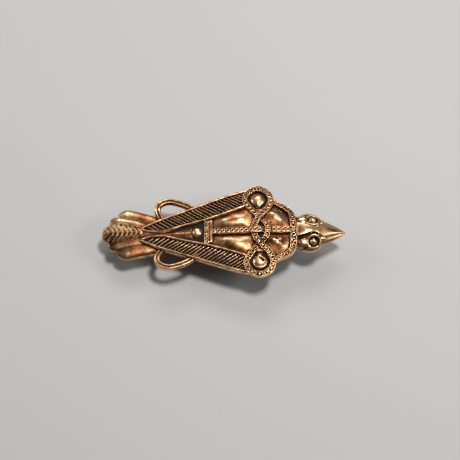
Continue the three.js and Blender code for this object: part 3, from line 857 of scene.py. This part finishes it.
# %% Hollow one boss and lump the chest panels, as the cast shows them
for x, y, size, depth in ((10.2, -9.0, 0.42, 0.5), (9.75, -8.55, 0.34, 0.4), (9.3, -8.35, 0.26, 0.25)):
    press(x, y, size, depth)
for x, y, size, lump in ((13.3, -3.1, 0.8, 0.2), (14.4, -3.9, 0.9, 0.28), (15.3, -2.8, 0.6, 0.2),
                         (12.9, 5.0, 0.8, 0.15), (14.0, 3.9, 1.0, 0.16), (15.3, 3.0, 0.8, 0.16)):
    far = np.hypot(points[:, 0] - x, points[:, 1] - y)
    points[:, 2] += lump * np.exp(-(far / size) ** 2) * upward


# %% Cut the groove round each eye's boss and the gape of the beak
def eye_groove(side):
    axis = np.array([0, side * math.sin(eye_tilt), math.cos(eye_tilt)])
    away = points - np.array([eye_x, side * eye_y, eye_height])
    along = away @ axis
    out = np.linalg.norm(away - along[:, None] * axis, axis=1)
    cut = 0.55 * np.exp(-((out - 1.22) / 0.24) ** 4) * (along > -0.7)
    points[:] -= cut[:, None] * axis


for side in (1, -1):
    eye_groove(side)
gape = head_centre - 0.35 + (points[:, 0] - beak_from) * -0.03
near_gape = np.exp(-((points[:, 2] - gape) / 0.13) ** 2) * ease(26.2, 27.2, points[:, 0])
near_gape *= 1 - ease(31.4, 32.4, points[:, 0])
points[:, 1] -= np.sign(points[:, 1]) * 0.16 * near_gape * (np.abs(normals[:, 1]) > 0.3)

# %% Write the points back and take triangles out of the flat places
bird.data.vertices.foreach_set("co", points.astype(np.float32).ravel())
bird.data.update()
thin = bird.modifiers.new("thin", "DECIMATE")
thin.ratio = MOST_FACES / (2 * len(bird.data.polygons))
bird.data = finished_mesh(bird)
bird.modifiers.clear()
print("thinned faces", len(bird.data.polygons))


# %% Drop the crumbs that the voxel grid left loose
def shells(bm):
    """The mesh's separate shells, each a list of its corners, the largest last."""
    left, found = set(bm.verts), []
    while left:
        queue, shell = [left.pop()], []
        while queue:
            vert = queue.pop()
            shell.append(vert)
            near = {edge.other_vert(vert) for edge in vert.link_edges} & left
            left -= near
            queue.extend(near)
        found.append(shell)
    return sorted(found, key=len)


bm = bmesh.new()
bm.from_mesh(bird.data)
crumbs = shells(bm)[:-1]
for crumb in crumbs:
    middle = sum((vert.co for vert in crumb), Vector()) / len(crumb)
    print("crumb of", len(crumb), "corners at", [round(c, 2) for c in middle])
bmesh.ops.delete(bm, geom=[vert for crumb in crumbs for vert in crumb], context="VERTS")
bm.to_mesh(bird.data)
bm.free()
print("kept faces", len(bird.data.polygons))


# %% [markdown]
# ## How deep each point lies
# Patina stays where a cloth can't reach and goes where it rubs. So the material needs to know which
# points are low and which stand proud. Smoothing a copy of the surface and measuring how far each
# point stands off the copy gives just that, and it travels with the mesh as an attribute. Three more
# attributes come from place or direction, and all three are painted light: a painted highlight makes
# the head and the far side of the tail paler gold, painted shade darkens the near side of the tail,
# and painted shade darkens faces that look down or sideways, which are also made rougher.

# %% Relief: the distance of each point from a smoothed copy
def relief(mesh, rounds):
    edges = np.empty(len(mesh.edges) * 2, np.int64)
    mesh.edges.foreach_get("vertices", edges)
    a, b = edges.reshape(-1, 2).T
    spots = mesh_points(mesh)
    count = len(spots)
    load = np.bincount(a, minlength=count) + np.bincount(b, minlength=count)
    smooth = spots.copy()
    for _ in range(rounds):
        total = np.empty_like(smooth)
        for axis in range(3):
            total[:, axis] = np.bincount(a, weights=smooth[b, axis], minlength=count)
            total[:, axis] += np.bincount(b, weights=smooth[a, axis], minlength=count)
        smooth = smooth * 0.4 + 0.6 * total / load[:, None]
    return np.sum((spots - smooth) * mesh_normals(mesh), axis=1)


def store(mesh, name, values):
    attribute = mesh.attributes.new(name, "FLOAT", "POINT")
    attribute.data.foreach_set("value", values.astype(np.float32))


few_rounds, many_rounds = 10, 90
fine, wide = relief(bird.data, few_rounds), relief(bird.data, many_rounds)
store(bird.data, "relief_fine", fine)
store(bird.data, "relief_wide", wide)
# Painted shade: faces that look down or sideways get a darker colour, and more roughness as well.
store(bird.data, "turned_away", ease(0.0, 0.6, 0.15 - mesh_normals(bird.data)[:, 2]))
along, across = mesh_points(bird.data)[:, :2].T
far_half = ease(0.2, 1.2, across)
# Painted highlight: the head and the far half of the tail are made paler gold.
store(bird.data, "painted_highlight", np.maximum(0.8 * ease(22, 27, along), ease(22, 29, -along) * far_half))
# Painted shade: the near half of the tail is made darker.
store(bird.data, "painted_shade", ease(20, 26, -along) * (1 - far_half))
for title, values in (("fine", fine), ("wide", wide)):
    print("relief", title, np.percentile(values, (2, 50, 98)).round(3))
bird.data.transform(Matrix.Scale(MM, 4))
bird.data.polygons.foreach_set("use_smooth", [True] * len(bird.data.polygons))
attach(bird, "brooch")
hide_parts("brooch_casting")


# %% [markdown]
# ## Bronze
# Polished bronze is pale gold where a cloth has worn it, rose copper where it is only clean and nearly
# black in its recesses. The same pale gold is also laid on as a painted highlight on the head and the
# far side of the tail, and a dark brown as painted shade on the near side of the tail and on faces that
# look down or sideways. One metal shader carries all of these: the attributes, broken up by noise,
# blend the colours and the roughness, and fine noise gives the cast skin a bump.

# %% Small helpers for node trees
def new_material(name):
    material = bpy.data.materials.new(name)
    material.use_nodes = True
    tree = material.node_tree
    return material, tree, tree.nodes["Principled BSDF"]


def ramp(tree, source, stops, kind="EASE"):
    node = tree.nodes.new("ShaderNodeValToRGB")
    node.color_ramp.interpolation = kind
    while len(node.color_ramp.elements) < len(stops):
        node.color_ramp.elements.new(0.5)
    for element, (place, colour) in zip(node.color_ramp.elements, stops):
        element.position = place
        element.color = (*colour, 1) if len(colour) == 3 else colour
    tree.links.new(source, node.inputs[0])
    return node.outputs["Color"]


def ranged(tree, source, low, high, to_low=0.0, to_high=1.0):
    node = tree.nodes.new("ShaderNodeMapRange")
    node.interpolation_type = "SMOOTHSTEP"
    for name, value in (("From Min", low), ("From Max", high), ("To Min", to_low), ("To Max", to_high)):
        node.inputs[name].default_value = value
    tree.links.new(source, node.inputs["Value"])
    return node.outputs["Result"]


def grain(tree, scale, detail=4, rough=0.6, distort=0.0):
    where = tree.nodes.new("ShaderNodeTexCoord")
    node = tree.nodes.new("ShaderNodeTexNoise")
    node.inputs["Scale"].default_value = scale
    node.inputs["Detail"].default_value = detail
    node.inputs["Roughness"].default_value = rough
    node.inputs["Distortion"].default_value = distort
    tree.links.new(where.outputs["Object"], node.inputs["Vector"])
    return node.outputs["Fac"]


def sums(tree, a, b, operation="ADD", clamp=False):
    node = tree.nodes.new("ShaderNodeMath")
    node.operation = operation
    node.use_clamp = clamp
    for socket, value in zip(node.inputs, (a, b)):
        if isinstance(value, (int, float)):
            socket.default_value = value
        else:
            tree.links.new(value, socket)
    return node.outputs[0]


def blend(tree, share, a, b):
    node = tree.nodes.new("ShaderNodeMix")
    node.data_type = "RGBA"
    tree.links.new(share, node.inputs[0])
    for socket, value in ((node.inputs[6], a), (node.inputs[7], b)):
        if isinstance(value, tuple):
            socket.default_value = (*value, 1)
        else:
            tree.links.new(value, socket)
    return node.outputs[2]


def attribute(tree, name):
    node = tree.nodes.new("ShaderNodeAttribute")
    node.attribute_name = name
    return node.outputs["Fac"]


# %% The polished bronze of the casting, with its patina, a painted highlight and painted shade
COPPER = (0.21, 0.068, 0.022)
ROSE = (0.46, 0.18, 0.07)
GOLD = (0.93, 0.64, 0.36)
# Dark brown for painted shade, on faces that look down or sideways and on the near side of the tail.
PAINTED_SHADE_BROWN = (0.14, 0.058, 0.025)
SOOT = (0.012, 0.006, 0.003)


def cast_bronze():
    material, tree, shader = new_material("cast_bronze")
    fine_relief = attribute(tree, "relief_fine")
    wide_relief = attribute(tree, "relief_wide")
    patches = grain(tree, 260, 5)
    specks = grain(tree, 1500, 4)
    broken = sums(tree, ranged(tree, specks, 0.3, 0.7, -0.5, 0.5), 0.06, "MULTIPLY")
    away = attribute(tree, "turned_away")
    corners = ranged(tree, sums(tree, fine_relief, broken), -0.008, -0.06)
    hollows = ranged(tree, sums(tree, wide_relief, broken), -0.04, -0.22)
    soot = sums(tree, corners, hollows, "MAXIMUM")
    less_broken = sums(tree, broken, 0.5, "MULTIPLY")
    edges = ranged(tree, sums(tree, fine_relief, less_broken), 0.012, 0.07)
    knobs = ranged(tree, wide_relief, 0.28, 0.75, 0.0, 0.6)
    # Painted highlight: the head and the far side of the tail are made paler gold.
    painted_highlight = sums(tree, attribute(tree, "painted_highlight"), 0.65, "MULTIPLY")
    # Worn ridges and proud places are real polish, and the painted highlight is added to them.
    wear_and_painted_highlight = sums(tree, edges, sums(tree, knobs, painted_highlight, "MAXIMUM"), "MAXIMUM")
    metal = ramp(tree, patches, [(0.35, COPPER), (0.62, ROSE)])
    metal = blend(tree, wear_and_painted_highlight, metal, GOLD)
    # Painted shade: faces that look down or sideways, and the near side of the tail, are darkened.
    turned_away_shade = sums(tree, away, 0.8, "MULTIPLY")
    painted_shade = sums(tree, turned_away_shade, sums(tree, attribute(tree, "painted_shade"), 0.6, "MULTIPLY"), "MAXIMUM")
    metal = blend(tree, painted_shade, metal, PAINTED_SHADE_BROWN)
    tree.links.new(blend(tree, soot, metal, SOOT), shader.inputs["Base Color"])
    shine = ranged(tree, patches, 0.3, 0.7, 0.25, 0.42)
    dull = sums(tree, sums(tree, soot, 0.35, "MULTIPLY"), sums(tree, away, 0.15, "MULTIPLY"))
    buffed = sums(tree, edges, -0.04, "MULTIPLY")
    tree.links.new(sums(tree, sums(tree, shine, buffed), dull), shader.inputs["Roughness"])
    tree.links.new(ranged(tree, soot, 0.2, 1.0, 1.0, 0.35), shader.inputs["Metallic"])
    bump = tree.nodes.new("ShaderNodeBump")
    bump.inputs["Strength"].default_value = 0.35
    bump.inputs["Distance"].default_value = 0.00004
    tree.links.new(grain(tree, 2600, 3), bump.inputs["Height"])
    tree.links.new(bump.outputs["Normal"], shader.inputs["Normal"])
    return material


bird.data.materials.clear()
bird.data.materials.append(cast_bronze())

# %% [markdown]
# ## Pin and rivet
# The pin is drawn wire that thins to a point, with a barrel that turns on the rivet. Both are turned
# shapes, so each is a profile that is spun. They stay just inside the solids they stand for.

# %% Spin a profile about the pin's own line
pin_end = -23.2


def lathe(profile, axis, steps):
    bm = bmesh.new()
    verts = [bm.verts.new(spot) for spot in profile]
    edges = [bm.edges.new(pair) for pair in zip(verts[:-1], verts[1:])]
    bmesh.ops.spin(bm, geom=verts + edges, cent=(0, 0, 0), axis=axis, dvec=(0, 0, 0), angle=2 * math.pi,
                   steps=steps, use_merge=True)
    bmesh.ops.remove_doubles(bm, verts=bm.verts, dist=0.001)
    bmesh.ops.recalc_face_normals(bm, faces=bm.faces)
    return bm


def wire():
    start = hinge_x - 1.2
    stops = [(start, 0), (start, 0.6)]
    for share in np.linspace(0.02, 1, 40):
        x = start + (pin_end + 0.25 - start) * share
        stops.append((x, 0.64 * (1 - 0.72 * ease(0.62, 1.0, share)) + 0.008 * math.sin(share * 40)))
    stops += [(pin_end + 0.08, 0.1), (pin_end, 0)]
    return lathe([(x, 0, r) for x, r in stops], (1, 0, 0), 24)


def barrel():
    half = 1.48
    profile = [(0.96, -half + 0.1), (1.06, -half), (1.36, -half), (1.48, -half + 0.12), (1.48, half - 0.12),
               (1.36, half), (1.06, half), (0.96, half - 0.1), (0.96, -half + 0.1)]
    return lathe([(r, y, 0) for r, y in profile], (0, 1, 0), 40)


def rivet():
    half = [(0.64, 3.62), (1.17, 3.62), (1.05, 3.95), (0.7, 4.16), (0, 4.18)]
    profile = [(r, -y) for r, y in reversed(half)] + half
    return lathe([(r, y, 0) for r, y in profile], (0, 1, 0), 32)


# %% Put the pin and the rivet in place
def place_piece(parts, name, moves, body, node, material):
    whole = bmesh.new()
    for bm, move in zip(parts, moves):
        bmesh.ops.translate(bm, verts=bm.verts, vec=move)
        mesh = bpy.data.meshes.new("part")
        bm.to_mesh(mesh)
        bm.free()
        whole.from_mesh(mesh)
        bpy.data.meshes.remove(mesh)
    made = as_object(whole, name)
    made.data.transform(Matrix.Scale(MM, 4))
    made.data.polygons.foreach_set("use_smooth", [True] * len(made.data.polygons))
    made.data.materials.append(material)
    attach(made, body)
    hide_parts(node)
    print(name, "faces", len(made.data.polygons))


WIRE_GOLD = (0.72, 0.45, 0.24)


def drawn_bronze():
    material, tree, shader = new_material("drawn_bronze")
    patches = grain(tree, 320, 4)
    colour = ramp(tree, patches, [(0.3, COPPER), (0.6, WIRE_GOLD)])
    tree.links.new(colour, shader.inputs["Base Color"])
    tree.links.new(ranged(tree, patches, 0.3, 0.7, 0.25, 0.42), shader.inputs["Roughness"])
    shader.inputs["Metallic"].default_value = 1.0
    bump = tree.nodes.new("ShaderNodeBump")
    bump.inputs["Strength"].default_value = 0.25
    bump.inputs["Distance"].default_value = 0.00003
    tree.links.new(grain(tree, 2200, 2), bump.inputs["Height"])
    tree.links.new(bump.outputs["Normal"], shader.inputs["Normal"])
    return material


wire_metal = drawn_bronze()
hinge = (hinge_x, 0, hinge_height)
pin_parts, pin_moves = [wire(), barrel()], [(0, 0, hinge_height), hinge]
place_piece(pin_parts, "brooch_pin", pin_moves, "pin", "pin", wire_metal)
place_piece([rivet()], "pin_rivet", [hinge], "brooch", "hinge_rivet", wire_metal)

# %% [markdown]
# ## Camera, light and floor
# The camera looks from the photograph's side: nearly square on to the bird's back, 63 degrees above the
# table. Metal shows what it mirrors, so four soft lamps stand round the bird. The main one hangs above
# it, a little towards the head, a wide one behind rakes over the relief, and one at each end picks out
# the tail and the beak. None stands straight in front, so the near faces stay darker, as in the
# photograph. The floor is plain and pale. The view transform is the standard one, because the default
# one softens the pale highlights that make the metal look polished.

# %% The camera
azimuth, elevation, roll = math.radians(-3.28), math.radians(63), math.radians(2.37)
target = Vector((1.908, 4.774, 0)) * MM
distance = 315 * MM
backward = Vector((math.sin(azimuth) * math.cos(elevation), -math.cos(azimuth) * math.cos(elevation),
                   math.sin(elevation)))
level = Vector((math.cos(azimuth), math.sin(azimuth), 0))
upright = backward.cross(level)
right = level * math.cos(roll) + upright * math.sin(roll)
up = upright * math.cos(roll) - level * math.sin(roll)
focal_pixels, picture_pixels = 1132, 460
camera_data = bpy.data.cameras.new("camera")
camera_data.sensor_width = 36
camera_data.lens = focal_pixels / picture_pixels * camera_data.sensor_width
camera_data.clip_start = 0.01
camera = bpy.data.objects.new("camera", camera_data)
facing = Matrix((right, up, backward)).transposed().to_4x4()
camera.matrix_world = Matrix.Translation(target + backward * distance) @ facing
bpy.context.scene.collection.objects.link(camera)
bpy.context.scene.camera = camera


# %% Lights that look at the brooch
def area_light(name, place, width, height, power, colour):
    data = bpy.data.lights.new(name, "AREA")
    data.shape = "RECTANGLE"
    data.size, data.size_y = width, height
    data.energy = power
    data.color = colour
    light = bpy.data.objects.new(name, data)
    light.location = place
    light.rotation_euler = (-Vector(place)).to_track_quat("-Z", "Y").to_euler()
    bpy.context.scene.collection.objects.link(light)


area_light("key", (0.1, 0.06, 0.5), 0.11, 0.08, 1.45, (1.0, 0.98, 0.95))
area_light("back", (0.0, 0.4, 0.36), 0.34, 0.16, 0.7, (1.0, 0.98, 0.95))
area_light("left", (-0.42, 0.14, 0.2), 0.18, 0.18, 0.42, (1.0, 0.97, 0.93))
area_light("right", (0.4, -0.05, 0.28), 0.16, 0.16, 0.45, (1.0, 0.97, 0.93))
world = bpy.data.worlds.new("studio")
world.use_nodes = True
world.node_tree.nodes["Background"].inputs["Color"].default_value = (0.9, 0.93, 1.0, 1)
world.node_tree.nodes["Background"].inputs["Strength"].default_value = 0.07
bpy.context.scene.world = world
bpy.context.scene.view_settings.view_transform = "Standard"


# %% The floor
def studio_floor():
    bm = bmesh.new()
    bmesh.ops.create_grid(bm, x_segments=2, y_segments=2, size=1.5)
    made = as_object(bm, "studio_floor")
    material, tree, shader = new_material("pale_floor")
    shader.inputs["Base Color"].default_value = (0.62, 0.62, 0.61, 1)
    shader.inputs["Roughness"].default_value = 0.75
    made.data.materials.append(material)
    made.location = (0, 0, 0)


studio_floor()
